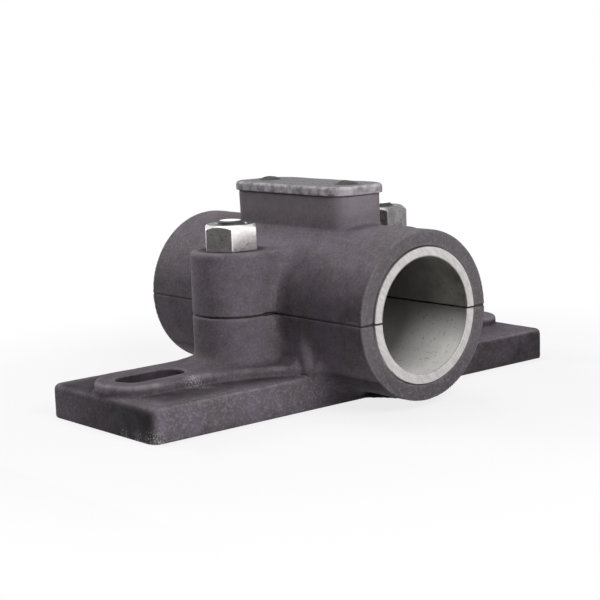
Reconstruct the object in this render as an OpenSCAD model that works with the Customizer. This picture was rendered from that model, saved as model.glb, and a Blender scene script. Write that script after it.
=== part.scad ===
// Split pillow block with a rigid, metal-lined plain bearing.
// A cast foot carries the lower half of the barrel and a cast cap closes it. Each half is
// lined with poured bearing metal that keys into ring grooves, shims set the running fit,
// and a covered reservoir on the cap feeds lubricant through the crown to the shaft.
// X runs along the foot, Y along the shaft and Z up. The origin is the centre of the
// foot's underside. Sizes are in millimetres.

/* [Shaft and lining] */
// Diameter of the shaft bore
bore_d = 49.2; // [44:0.1:60]
// Thickness of the bearing-metal lining
liner_wall = 4; // [3:0.1:5]
// Length that the lining stands out of each end of the barrel
liner_proud = 0.6; // [0.2:0.1:2]
// Shrinkage gap between the lining and its seat
liner_play = 0.04; // [0.02:0.01:0.1]
// Distance from the middle of a ring key to the end of the barrel
key_inset = 30.25; // [18:0.25:40]
// Width of a ring key at its narrow mouth
key_mouth = 9; // [6:0.5:12]
// Depth of a ring key
key_depth = 2; // [1:0.1:2.5]
// Widening of a ring key on each side, so that it can't pull out
key_flare = 1.2; // [0.5:0.1:2]

/* [Barrel] */
// Thickness of the barrel's wall around the lining
barrel_wall = 7.06; // [5:0.02:12]
// Length of the barrel along the shaft
barrel_len = 144.5; // [120:0.5:175]
// Radius of the rounded rim at each end of the barrel
rim_r = 2; // [1:0.1:3]
// Bevel at each mouth of the lining's seat
seat_bevel = 0.8; // [0.4:0.1:1.2]
// Height of the barrel's underside above the foot's underside
barrel_clear = 4; // [2:0.1:12]
// Gap between the two castings, filled by the shims
parting_gap = 0.8; // [0.4:0.1:2]

/* [Foot] */
// Length of the foot
foot_len = 228; // [222:1:280]
// Width of the foot
foot_w = 75; // [60:1:90]
// Thickness of the foot
foot_t = 14.5; // [12:0.5:18]
// Radius of the foot's upright corners
foot_corner_r = 3.6; // [3.6:0.1:10]
// Radius of the foot's upper edge
foot_edge_r = 2.5; // [1:0.1:3.5]
// Distance that each side of the saddle lies in from the side of the barrel
saddle_inset = 0.7; // [0.2:0.1:6]
// Radius of the saddle's upright corners
saddle_corner_r = 3; // [1:0.5:5]
// Radius of the hollow between the saddle's sides and the pad
saddle_fillet_r = 4; // [2:0.5:6]
// Thickness of the web under each overhanging end
web_t = 12; // [8:1:24]
// Height of the web's lower edge at the foot
web_toe = 0.6; // [0.4:0.1:3]
// Distance from the end of the barrel to where the web runs out
web_setback = 9.75; // [6:0.25:16]
// Radius of the hollow between the saddle's end faces and the barrel
end_blend_r = 8; // [4:0.5:10]

/* [Mounting slots] */
// Distance from the end of a slot to the end of the foot
slot_inset = 9; // [6:0.5:12]
// Width of a slot
slot_w = 14.3; // [11:0.1:18]
// Length of a slot from end to end
slot_len = 32; // [24:1:38]
// Width of the raised pad around a slot
pad_w = 33; // [26:0.5:40]
// Height of the pad above the foot
pad_h = 4.5; // [2:0.5:6]
// Radius of the pad's upper edge
pad_edge_r = 1.6; // [0.5:0.1:1.9]
// Distance from the pad's round end to the end of the foot
pad_inset = 0.6; // [0.5:0.1:4]
// Radius of the sweep by which the pad widens to the corners of the saddle
flare_r = 70; // [50:1:85]

/* [Cap bolts] */
// Diameter of a cap bolt
bolt_d = 12.7; // [9.5:0.1:15.5]
// Free play of a cap bolt in its hole
bolt_play = 0.8; // [0.4:0.1:1.5]
// Metal between a bolt's hole and the barrel
bolt_land = 1.35; // [0.6:0.05:6]
// Metal around the corners of a nut on its boss
nut_land = 5.33; // [3:0.01:7]
// Height of the barrel's crown above the bosses
boss_drop = 8.7; // [4:0.1:14]
// Radius of the boss's upper edge
boss_edge_r = 1.6; // [0.5:0.1:3]
// Radius of the hollow around the boss, at the pad and at the barrel
boss_blend_r = 5; // [2:0.5:5]
// Radius of the hollow between the top of the boss and the barrel
crown_blend_r = 4; // [2:0.5:6]
// Metal between a nut's bore and its flats
nut_wall = 4.45; // [3.5:0.05:6]
// Thickness of a cap nut
nut_t = 11.2; // [9:0.1:14]
// Turn of the left nut, as it was left when tightened
left_nut_turn = -6; // [-30:1:30]
// Turn of the right nut, as it was left when tightened
right_nut_turn = 3; // [-30:1:30]
// Gap between a nut's bore and its bolt
thread_play = 0.05; // [0.02:0.01:0.1]
// Length of bolt that stands above its nut
bolt_stand = 3; // [2:0.1:8]
// Bevel on the end of a bolt
bolt_bevel = 1.8; // [0.5:0.1:1.9]
// Distance that a bolt's square head stands out past its shank
head_ledge = 3.15; // [2:0.05:4]
// Thickness of a bolt's square head
head_t = 8.3; // [6:0.1:9]
// Depth of a bolt's head above the foot's underside
head_recess = 1.2; // [0.5:0.1:2]
// Gap around a bolt's head in its pocket
pocket_play = 0.6; // [0.3:0.1:1]
// Distance from the edges of the parting faces to a shim
shim_setback = 0.6; // [0.3:0.1:2]

/* [Reservoir] */
// Width of the reservoir across the shaft
tank_w = 28.4; // [24:0.2:36]
// Length of the reservoir along the shaft
tank_len = 74; // [66:0.2:90]
// Height of the reservoir's rim above the crown of the barrel
tank_h = 12.9; // [10:0.1:22]
// Radius of the reservoir's upright corners
tank_corner_r = 9; // [7:0.5:11]
// Thickness of the reservoir's wall
tank_wall = 4; // [3:0.1:4.5]
// Height of the reservoir's floor above the lining's seat
tank_floor = 5; // [3.5:0.1:7]
// Radius of the hollow between the reservoir and the barrel
tank_fillet_r = 6; // [4:0.5:8]
// Distance between the two feed holes in the reservoir's floor
feed_spacing = 30; // [20:1:36]
// Diameter of a feed hole
feed_d = 8; // [5:0.5:10]
// Distance from the lubricant groove to each end of the lining
groove_inset = 18.85; // [10:0.05:30]
// Width of the lubricant groove
groove_w = 7; // [4:0.5:9]
// Depth of the lubricant groove
groove_depth = 1.2; // [0.6:0.1:1.8]

/* [Reservoir cover] */
// Distance that the cover stands out past the reservoir's wall
cover_lip = 1.3; // [0.5:0.1:2.5]
// Thickness of the cover
cover_t = 4; // [2.5:0.1:6]
// Radius of the cover's upper edge
cover_edge_r = 1.5; // [0.5:0.1:2]
// Distance from a cover screw to the end of the reservoir
screw_inset = 11; // [9:0.5:13]
// Diameter of a cover screw
screw_d = 4.8; // [4:0.1:5.5]
// Length of a cover screw below its head
screw_len = 13; // [9:0.5:15]
// Distance that a cover screw's head stands out past its shank
screw_ledge = 2.3; // [1.5:0.1:3]
// Height of a cover screw's head
screw_head_h = 1.9; // [1.5:0.1:3.6]
// Width of the slot in a screw's head
screw_slot_w = 1.3; // [0.8:0.1:1.6]
// Depth of the slot in a screw's head
screw_slot_depth = 0.9; // [0.6:0.1:1.2]
// Thickness of the post around a cover screw's hole
post_wall = 2.4; // [1.8:0.1:3]

/* [Hidden] */
$fn = 96;

// Colours of the finishes
casting_grey = [0.31, 0.30, 0.33];
cover_grey = [0.42, 0.41, 0.44];
white_metal = [0.84, 0.84, 0.82];
zinc_plate = [0.78, 0.78, 0.76];
shim_steel = [0.45, 0.43, 0.41];
screw_black = [0.22, 0.22, 0.20];

// Overlap that carries one solid into the next, and room for a cut to clear a face
sink = 1;
clear = 5;
// Height above which nothing of the part reaches
sky = 200;
left = -1;
right = 1;
front = -1;
rear = 1;

liner_r = bore_d / 2 + liner_wall;
seat_r = liner_r + liner_play;
barrel_r = seat_r + barrel_wall;
axis_h = barrel_clear + barrel_r;
liner_len = barrel_len + 2 * liner_proud;
key_y = barrel_len / 2 - key_inset;
split_low = axis_h - parting_gap / 2;
split_high = axis_h + parting_gap / 2;
saddle_w = 2 * (barrel_r - saddle_inset);
bolt_hole_r = (bolt_d + bolt_play) / 2;
bolt_x = barrel_r + bolt_land + bolt_hole_r;
nut_flats = bolt_d + 2 * nut_wall;
nut_corner_r = nut_flats / sqrt(3);
nut_bevel_h = (nut_corner_r - nut_flats / 2) * tan(30);
boss_w = 2 * (nut_corner_r + nut_land);
boss_rise = barrel_r - boss_drop;
boss_top = axis_h + boss_rise;
head_w = bolt_d + 2 * head_ledge;
pocket_depth = head_t + head_recess;
nut_top = boss_top + nut_t;
bolt_top = nut_top + bolt_stand;
pad_top = foot_t + pad_h;
pad_reach = foot_len / 2 - pad_inset - pad_w / 2;
slot_x = foot_len / 2 - slot_inset - slot_len / 2;
slot_reach = slot_len / 2 - slot_w / 2;
flare_drop = foot_w / 2 - foot_edge_r - pad_edge_r - pad_w / 2;
flare_run = sqrt(2 * flare_r * flare_drop - flare_drop * flare_drop);
flare_x = saddle_w / 2 + flare_run;
tank_rise = barrel_r + tank_h;
tank_top = axis_h + tank_rise;
tank_floor_z = axis_h + seat_r + tank_floor;
skirt_reach = tank_w / 2 + tank_fillet_r;
skirt_z = axis_h + sqrt(barrel_r * barrel_r - skirt_reach * skirt_reach);
cover_top = tank_top + cover_t;
shim_t = parting_gap / 2;
groove_len = liner_len - 2 * groove_inset;
screw_y = tank_len / 2 - screw_inset;
screw_head_d = screw_d + 2 * screw_ledge;
post_d = screw_d + 2 * post_wall;

// Flat outline of a rectangle with round corners
module round_rect(len, wide, r) {
  square([len, wide - 2 * r], center = true);
  square([len - 2 * r, wide], center = true);
  for (x = [-1, 1], y = [-1, 1])
    translate([x * (len / 2 - r), y * (wide / 2 - r)])
      circle(r);
}

// Half section of an edge: a wall that is depth wide and high tall, with its upper corner rounded
module edge_section(depth, high, r) {
  square([depth, high - r]);
  square([depth - r, high]);
  translate([depth - r, high - r])
    intersection() {
      circle(r);
      square(r);
    }
}

// Section of the hollow that blends a wall into the ground beside it
module hollow_section(r) {
  difference() {
    translate([-sink, -sink])
      square([r + sink, r + sink]);
    translate([r, r])
      circle(r);
  }
}

// Carries a section round a rectangle with round corners, outwards from the corner centres
module round_the_edge(len, wide, r) {
  for (turn = [0, 180])
    rotate([0, 0, turn]) {
      translate([len / 2 - r, 0, 0])
        rotate([90, 0, 0])
          linear_extrude(wide - 2 * r, center = true)
            children();
      translate([0, wide / 2 - r, 0])
        rotate([90, 0, 90])
          linear_extrude(len - 2 * r, center = true)
            children();
    }
  for (x = [0, 1], y = [0, 1])
    mirror([x, 0, 0])
      mirror([0, y, 0])
        translate([len / 2 - r, wide / 2 - r, 0])
          rotate_extrude(angle = 90)
            children();
}

// Slab with round upright corners and a rounded upper edge
module soft_slab(len, wide, high, corner_r, edge_r) {
  linear_extrude(high)
    square([len - 2 * corner_r, wide - 2 * corner_r], center = true);
  round_the_edge(len, wide, corner_r)
    edge_section(corner_r, high, edge_r);
}

// Bar that runs from the centre along +X and ends in a half round about x = reach
module soft_bar(reach, wide, high, edge_r) {
  rotate([90, 0, 90])
    linear_extrude(reach)
      for (side = [0, 1])
        mirror([side, 0])
          edge_section(wide / 2, high, edge_r);
  translate([reach, 0, 0])
    rotate([0, 0, -90])
      rotate_extrude(angle = 180)
        edge_section(wide / 2, high, edge_r);
}

// Turns a shape made on the Z axis into one on the shaft axis
module on_shaft() {
  translate([0, 0, axis_h])
    rotate([90, 0, 0])
      children();
}

// Repeats a shape that points along +X on both sides of the shaft
module both_sides() {
  for (turn = [0, 180])
    rotate([0, 0, turn])
      children();
}

// Solid drum of the barrel, with its rims rounded
module barrel() {
  on_shaft()
    rotate_extrude()
      for (end = [0, 1])
        mirror([0, end])
          edge_section(barrel_r, barrel_len / 2, rim_r);
}

// Round hole for the lining, bevelled at both mouths
module seat() {
  on_shaft() {
    cylinder(r = seat_r, h = barrel_len + 2 * clear, center = true);
    for (end = [0, 1])
      mirror([0, 0, end])
        translate([0, 0, barrel_len / 2 - seat_bevel])
          cylinder(r1 = seat_r, r2 = seat_r + seat_bevel + sink, h = seat_bevel + sink);
  }
}

// Dovetailed rings that lock the lining in its casting; grow is the gap left round them
module ring_keys(grow) {
  mouth = key_mouth / 2 + grow;
  floor_half = mouth + key_flare;
  outer = liner_r + key_depth + grow;
  on_shaft()
    for (end = [-1, 1])
      translate([0, 0, end * key_y])
        rotate_extrude()
          polygon([
            [liner_r - sink, -mouth],
            [liner_r, -mouth],
            [outer, -floor_half],
            [outer, floor_half],
            [liner_r, mouth],
            [liner_r - sink, mouth]
          ]);
}

// Block that cuts away everything between two heights
module half_space(top, bottom) {
  translate([-foot_len, -foot_len, bottom])
    cube([2 * foot_len, 2 * foot_len, top - bottom]);
}

// Holes for the two cap bolts, through both castings
module bolt_holes() {
  both_sides()
    translate([bolt_x, 0, -clear])
      cylinder(r = bolt_hole_r, h = sky);
}

// Pocket under the foot that holds a square bolt head and keeps it from turning
module head_pockets() {
  pocket_w = head_w + 2 * pocket_play;
  both_sides()
    translate([bolt_x - pocket_w / 2, -pocket_w / 2, -clear])
      cube([pocket_w, pocket_w, pocket_depth + clear]);
}

// Slots that take the mounting bolts and let the block be set in line
module mounting_slots() {
  both_sides()
    translate([slot_x, 0, -clear])
      linear_extrude(sky) {
        square([2 * slot_reach, slot_w], center = true);
        for (end = [-1, 1])
          translate([end * slot_reach, 0])
            circle(d = slot_w);
      }
}

// Saddle that rises from the foot to the barrel, hollowed where its sides meet the pad
module saddle() {
  linear_extrude(axis_h)
    round_rect(saddle_w, foot_w, saddle_corner_r);
  both_sides()
    translate([saddle_w / 2, 0, pad_top])
      rotate([90, 0, 0])
        linear_extrude(foot_w - 2 * (foot_edge_r + saddle_fillet_r), center = true)
          hollow_section(saddle_fillet_r);
}

// Webs that carry the overhanging ends of the barrel
module webs() {
  under = axis_h - barrel_r;
  root = foot_w / 2;
  tip = barrel_len / 2 - web_setback;
  for (turn = [0, 180])
    rotate([0, 0, turn])
      translate([-web_t / 2, 0, 0])
        rotate([90, 0, 90])
          linear_extrude(web_t)
            polygon([
              [root - sink, web_toe],
              [root, web_toe],
              [tip, under],
              [tip, under + barrel_r / 2],
              [root - sink, under + barrel_r / 2]
            ]);
}

// Raised pad from the saddle to the end of the foot: a bar round the slot, which widens in two
// sweeps to the corners of the saddle
module pad() {
  translate([flare_x, 0, 0])
    soft_bar(pad_reach - flare_x, pad_w, pad_top, pad_edge_r);
  translate([0, -pad_w / 4, 0])
    cube([flare_x, pad_w / 2, pad_top]);
  for (side = [0, 1])
    mirror([0, side, 0])
      translate([flare_x, pad_w / 2 + flare_r, 0])
        mirror([1, 0, 0])
          rotate([0, 0, -90])
            rotate_extrude(angle = asin((flare_run + sink) / flare_r))
              translate([flare_r + pad_w / 2, 0])
                mirror([1, 0])
                  edge_section(pad_w / 2, pad_top, pad_edge_r);
}

// Hollows that blend the boss into the pad and into the side of the saddle
module boss_blends() {
  translate([bolt_x, 0, pad_top])
    rotate([0, 0, -90])
      rotate_extrude(angle = 180)
        translate([boss_w / 2, 0])
          hollow_section(boss_blend_r);
  for (side = [0, 1])
    mirror([0, side, 0]) {
      translate([0, boss_w / 2, pad_top])
        rotate([90, 0, 90])
          linear_extrude(bolt_x)
            hollow_section(boss_blend_r);
      translate([saddle_w / 2, boss_w / 2, 0])
        linear_extrude(axis_h)
          hollow_section(boss_blend_r);
    }
}

// Hollows that blend the overhanging ends of the barrel into the end faces of the saddle
module end_blends() {
  half_face = saddle_w / 2 - saddle_corner_r;
  intersection() {
    on_shaft()
      for (end = [0, 1])
        mirror([0, 0, end])
          rotate([0, 0, 180])
            rotate_extrude(angle = 180)
              translate([barrel_r, foot_w / 2])
                hollow_section(end_blend_r);
    translate([-half_face, -barrel_len / 2, web_toe])
      cube([2 * half_face, barrel_len, axis_h]);
  }
}

module base_casting() {
  color(casting_grey)
    difference() {
      union() {
        soft_slab(foot_len, foot_w, foot_t, foot_corner_r, foot_edge_r);
        both_sides() {
          pad();
          boss_blends();
          linear_extrude(axis_h) {
            translate([0, -boss_w / 2])
              square([bolt_x, boss_w]);
            translate([bolt_x, 0])
              circle(d = boss_w);
          }
        }
        saddle();
        barrel();
        webs();
        end_blends();
      }
      half_space(sky, split_low);
      seat();
      ring_keys(liner_play);
      bolt_holes();
      head_pockets();
      mounting_slots();
    }
}

// Post inside the reservoir that a cover screw is driven into, joined to the end wall
module screw_post(end) {
  reach = tank_len / 2 - screw_y;
  translate([0, end * screw_y, tank_floor_z - sink])
    linear_extrude(tank_top - tank_floor_z + sink) {
      circle(d = post_d);
      translate([-post_d / 2, end > 0 ? 0 : -reach])
        square([post_d, reach]);
    }
}

// Hollow of the reservoir with a post left standing at each end
module tank_hollow() {
  difference() {
    translate([0, 0, tank_floor_z])
      linear_extrude(sky)
        round_rect(tank_w - 2 * tank_wall, tank_len - 2 * tank_wall, tank_corner_r - tank_wall);
    for (end = [front, rear])
      screw_post(end);
  }
}

// Holes along the crown that lead lubricant from the reservoir to the bore
module feed_holes() {
  for (end = [-1, 1])
    translate([0, end * feed_spacing / 2, axis_h])
      cylinder(d = feed_d, h = tank_rise / 2 + seat_r / 2);
}

// Hollows that blend a boss of the cap into the barrel, along its sides and across its top
module cap_blends() {
  shoulder = boss_rise - boss_edge_r;
  apart = barrel_r + crown_blend_r;
  mid_z = boss_rise + crown_blend_r;
  mid_x = sqrt(apart * apart - mid_z * mid_z);
  touch = barrel_r / apart;
  buried = seat_r / apart;
  intersection() {
    on_shaft()
      for (end = [0, 1])
        mirror([0, 0, end])
          rotate_extrude(angle = 90)
            translate([barrel_r, boss_w / 2])
              hollow_section(boss_blend_r);
    translate([0, -barrel_len / 2, axis_h])
      cube([bolt_x, barrel_len, shoulder]);
  }
  on_shaft()
    linear_extrude(boss_w - boss_edge_r, center = true)
      difference() {
        polygon([
          [mid_x, boss_rise - sink],
          [mid_x, mid_z],
          [mid_x * touch, mid_z * touch],
          [mid_x * buried, mid_z * buried]
        ]);
        translate([mid_x, mid_z])
          circle(crown_blend_r);
      }
}

module cap_casting() {
  color(casting_grey)
    difference() {
      union() {
        barrel();
        both_sides()
          cap_blends();
        translate([0, 0, axis_h]) {
          both_sides()
            soft_bar(bolt_x, boss_w, boss_rise, boss_edge_r);
          linear_extrude(tank_rise)
            round_rect(tank_w, tank_len, tank_corner_r);
        }
        translate([0, 0, skirt_z])
          round_the_edge(tank_w, tank_len, tank_corner_r)
            translate([tank_corner_r, 0])
              hollow_section(tank_fillet_r);
      }
      half_space(split_high, -clear);
      seat();
      ring_keys(liner_play);
      bolt_holes();
      tank_hollow();
      feed_holes();
      for (end = [front, rear])
        translate([0, end * screw_y, tank_top - screw_len])
          cylinder(d = screw_d + 2 * thread_play, h = sky);
    }
}

// Full tube of bearing metal with its ring keys
module lining() {
  difference() {
    union() {
      on_shaft()
        cylinder(r = liner_r, h = liner_len, center = true);
      ring_keys(0);
    }
    on_shaft()
      cylinder(d = bore_d, h = liner_len + 2 * clear, center = true);
  }
}

module lower_liner() {
  color(white_metal)
    difference() {
      lining();
      half_space(sky, split_low);
    }
}

module upper_liner() {
  groove_r = (groove_w * groove_w / 4 + groove_depth * groove_depth) / (2 * groove_depth);
  color(white_metal)
    difference() {
      lining();
      half_space(split_high, -clear);
      feed_holes();
      translate([0, 0, bore_d / 2 + groove_depth - groove_r])
        on_shaft()
          cylinder(r = groove_r, h = groove_len, center = true);
    }
}

// One leaf of the shims on one side: a strip along the barrel with a tab round the bolt
module shim(side, level) {
  inner = seat_r + shim_setback;
  tab_w = boss_w - 2 * shim_setback;
  color(shim_steel)
    translate([0, 0, split_low + level * shim_t])
      rotate([0, 0, side > 0 ? 0 : 180])
        linear_extrude(shim_t)
          difference() {
            union() {
              translate([inner, -barrel_len / 2 + shim_setback])
                square([barrel_r - shim_setback - inner, barrel_len - 2 * shim_setback]);
              translate([inner, -tab_w / 2])
                square([bolt_x - inner, tab_w]);
              translate([bolt_x, 0])
                circle(d = tab_w);
            }
            translate([bolt_x, 0])
              circle(r = bolt_hole_r);
          }
}

module left_shim_lower() {
  shim(left, 0);
}

module left_shim_upper() {
  shim(left, 1);
}

module right_shim_lower() {
  shim(right, 0);
}

module right_shim_upper() {
  shim(right, 1);
}

// Bolt with a square head in the foot's pocket and a bevelled end above its nut
module cap_bolt(side) {
  head_top = pocket_depth;
  shank = bolt_top - head_top;
  r = bolt_d / 2;
  color(zinc_plate)
    translate([side * bolt_x, 0, head_top]) {
      rotate_extrude()
        polygon([
          [0, -sink],
          [r, -sink],
          [r, shank - bolt_bevel],
          [r - bolt_bevel, shank],
          [0, shank]
        ]);
      translate([-head_w / 2, -head_w / 2, -head_t])
        cube([head_w, head_w, head_t]);
    }
}

module left_cap_bolt() {
  cap_bolt(left);
}

module right_cap_bolt() {
  cap_bolt(right);
}

// Six-sided nut with its upper corners turned off, standing on the boss
module cap_nut(side, turn) {
  color(zinc_plate)
    translate([side * bolt_x, 0, boss_top])
      rotate([0, 0, turn])
        difference() {
          intersection() {
            cylinder(r = nut_corner_r, h = nut_t, $fn = 6);
            rotate_extrude()
              polygon([
                [0, 0],
                [nut_corner_r + sink, 0],
                [nut_corner_r + sink, nut_t - nut_bevel_h - sink * tan(30)],
                [nut_flats / 2, nut_t],
                [0, nut_t]
              ]);
          }
          translate([0, 0, -clear])
            cylinder(r = bolt_d / 2 + thread_play, h = nut_t + 2 * clear);
        }
}

module left_cap_nut() {
  cap_nut(left, left_nut_turn);
}

module right_cap_nut() {
  cap_nut(right, right_nut_turn);
}

module reservoir_cover() {
  color(cover_grey)
    translate([0, 0, tank_top])
      difference() {
        soft_slab(
          tank_w + 2 * cover_lip,
          tank_len + 2 * cover_lip,
          cover_t,
          tank_corner_r + cover_lip,
          cover_edge_r
        );
        for (end = [front, rear])
          translate([0, end * screw_y, -clear])
            cylinder(d = screw_d + bolt_play, h = cover_t + 2 * clear);
      }
}

// Round-headed screw, slotted, driven through the cover into its post
module cover_screw(end) {
  head_r = screw_head_d / 2;
  dome_r = (head_r * head_r + screw_head_h * screw_head_h) / (2 * screw_head_h);
  color(screw_black)
    translate([0, end * screw_y, cover_top])
      difference() {
        union() {
          rotate_extrude()
            intersection() {
              square([head_r, screw_head_h]);
              translate([0, screw_head_h - dome_r])
                circle(dome_r);
            }
          translate([0, 0, -screw_len])
            cylinder(d = screw_d, h = screw_len + sink);
        }
        translate([-head_r - clear, -screw_slot_w / 2, screw_head_h - screw_slot_depth])
          cube([2 * (head_r + clear), screw_slot_w, screw_head_h]);
      }
}

module front_cover_screw() {
  cover_screw(front);
}

module rear_cover_screw() {
  cover_screw(rear);
}

base_casting();
cap_casting();
lower_liner();
upper_liner();
left_shim_lower();
left_shim_upper();
right_shim_lower();
right_shim_upper();
left_cap_bolt();
right_cap_bolt();
left_cap_nut();
right_cap_nut();
reservoir_cover();
front_cover_screw();
rear_cover_screw();
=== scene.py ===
import math

import bpy
import bmesh
import numpy as np
from mathutils import Matrix, Vector


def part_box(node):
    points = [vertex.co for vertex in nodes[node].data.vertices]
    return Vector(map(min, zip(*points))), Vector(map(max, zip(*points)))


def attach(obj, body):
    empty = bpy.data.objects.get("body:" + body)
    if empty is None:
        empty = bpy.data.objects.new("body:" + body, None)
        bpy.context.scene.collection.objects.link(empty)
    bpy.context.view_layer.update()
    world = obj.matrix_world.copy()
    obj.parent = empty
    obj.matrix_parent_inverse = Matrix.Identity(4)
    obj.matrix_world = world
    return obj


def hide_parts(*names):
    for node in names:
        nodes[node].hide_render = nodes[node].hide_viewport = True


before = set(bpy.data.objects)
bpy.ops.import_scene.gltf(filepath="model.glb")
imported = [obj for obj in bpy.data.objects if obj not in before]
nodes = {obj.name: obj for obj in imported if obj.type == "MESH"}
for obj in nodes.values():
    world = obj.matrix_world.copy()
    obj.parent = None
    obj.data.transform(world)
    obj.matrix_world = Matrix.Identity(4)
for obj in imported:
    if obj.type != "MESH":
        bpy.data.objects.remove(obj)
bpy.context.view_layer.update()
scene = bpy.context.scene
shaftHeight = 0.0397
sharpAngle = math.radians(30.0)
print("frame loaded:", len(nodes), "nodes")


# Small helpers that the materials share: a node tree with one shader, nodes, and links by name
def newMaterial(name):
    mat = bpy.data.materials.new(name)
    mat.use_nodes = True
    tree = mat.node_tree
    tree.nodes.clear()
    out = tree.nodes.new("ShaderNodeOutputMaterial")
    shader = tree.nodes.new("ShaderNodeBsdfPrincipled")
    tree.links.new(shader.outputs["BSDF"], out.inputs["Surface"])
    return mat, tree, shader


def addNode(tree, kind, inputs=None, **settings):
    node = tree.nodes.new("ShaderNode" + kind)
    for key, value in settings.items():
        setattr(node, key, value)
    for key, value in (inputs or {}).items():
        if isinstance(value, bpy.types.NodeSocket):
            tree.links.new(value, node.inputs[key])
        else:
            node.inputs[key].default_value = value
    return node


def objectCoords(tree):
    return addNode(tree, "TexCoord").outputs["Object"]


def noiseOf(tree, coords, scale, detail=2.0, rough=0.5):
    node = addNode(tree, "TexNoise", {"Vector": coords, "Scale": scale, "Detail": detail, "Roughness": rough})
    return node.outputs["Fac"]


def rampOf(tree, fac, low, high, lowOut=0.0, highOut=1.0):
    node = addNode(tree, "MapRange", {"Value": fac, "From Min": low, "From Max": high,
                                      "To Min": lowOut, "To Max": highOut})
    return node.outputs["Result"]


def mathOf(tree, operation, a, b):
    return addNode(tree, "Math", {0: a, 1: b}, operation=operation).outputs["Value"]


def mixColour(tree, fac, a, b, blend="MIX"):
    node = addNode(tree, "Mix", {"Factor": fac}, data_type="RGBA", blend_type=blend)
    for slot, value in ((6, a), (7, b)):
        if isinstance(value, bpy.types.NodeSocket):
            tree.links.new(value, node.inputs[slot])
        else:
            node.inputs[slot].default_value = (*value, 1.0)
    return node.outputs[2]


def bumpOf(tree, height, distance, normal=None):
    inputs = {"Height": height, "Distance": distance}
    if normal is not None:
        inputs["Normal"] = normal
    return addNode(tree, "Bump", inputs).outputs["Normal"]


def stretchOf(tree, coords, scale):
    return addNode(tree, "Mapping", {"Vector": coords, "Scale": scale}).outputs["Vector"]


# One for a ray from the camera, straight or by way of metal or glass, and nought for light on the part
def seenDirectly(tree):
    path = addNode(tree, "LightPath")
    seen = mathOf(tree, "MAXIMUM", path.outputs["Is Camera Ray"], path.outputs["Is Glossy Ray"])
    return mathOf(tree, "MAXIMUM", seen, path.outputs["Is Transmission Ray"])


def linear(red, green, blue):
    srgb = np.array([red, green, blue]) / 255.0
    return tuple(np.where(srgb <= 0.04045, srgb / 12.92, ((srgb + 0.055) / 1.055) ** 2.4))


# Sand-cast iron under a thin coat: cloudy tone, sand grain, dark pits, metal showing on worn edges, and painted shade
# and painted highlights
castIron = {
    "tone": linear(98, 90, 100),
    "deepTone": linear(82, 76, 78),
    "grainTone": linear(122, 115, 128),
    "pitTone": linear(50, 46, 49),
    "wornAndLitTone": linear(132, 127, 130),
    "scuffTone": linear(205, 202, 200),
    "groundTone": linear(80, 77, 78),
    "tankTone": linear(126, 119, 124),
    "paintedShadeTone": linear(36, 34, 35),
    "cloudScale": 32.0,
    "blotchScale": 170.0,
    "grainScale": 950.0,
    "sandScale": 2400.0,
    "grainHeight": 0.00010,
    "sandHeight": 0.00005,
    "patchFrom": (0.38, 0.62),
    "groundFrom": (0.0700, 0.0716),
    "groundAmount": 0.8,
    "tankFrom": (0.073, 0.082),
    "tankAmount": 0.6,
    "footFrom": (0.012, 0.020),
    "grainAmount": (0.70, 0.36),
    "grainFrom": (0.50, 0.72),
    "pitFrom": (0.38, 0.26),
    "pitAmount": 0.5,
    "paintedShadeFrom": (0.3, 0.6),
    "paintedShadeAmount": (1.0, 0.7),
    "paintedShadeMatt": 0.45,
    "wearAndHighlightPatchFrom": (0.35, 0.65),
    "wearAndHighlightPatchLeast": 0.25,
    "mattFrom": (0.3, 0.7),
    "mattSpread": 0.1,
    "scuffFrom": (0.56, 0.62),
    "roughness": 0.7,
    "gloss": 0.12,
    "wearAndHighlight": 0.22,
    "scuffs": [
        {"place": (-0.0785, -0.0160, 0.0175), "reach": 0.0060, "amount": 0.8},
        {"place": (-0.0760, -0.0210, 0.0150), "reach": 0.0045, "amount": 0.7},
        {"place": (-0.1120, -0.0355, 0.0005), "reach": 0.0065, "amount": 0.9},
        {"place": (-0.1130, -0.0260, 0.0003), "reach": 0.0050, "amount": 0.8},
        {"place": (-0.1130, -0.0170, 0.0003), "reach": 0.0045, "amount": 0.6},
        {"place": (-0.1030, -0.0365, 0.0003), "reach": 0.0045, "amount": 0.7},
    ],
}


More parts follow.
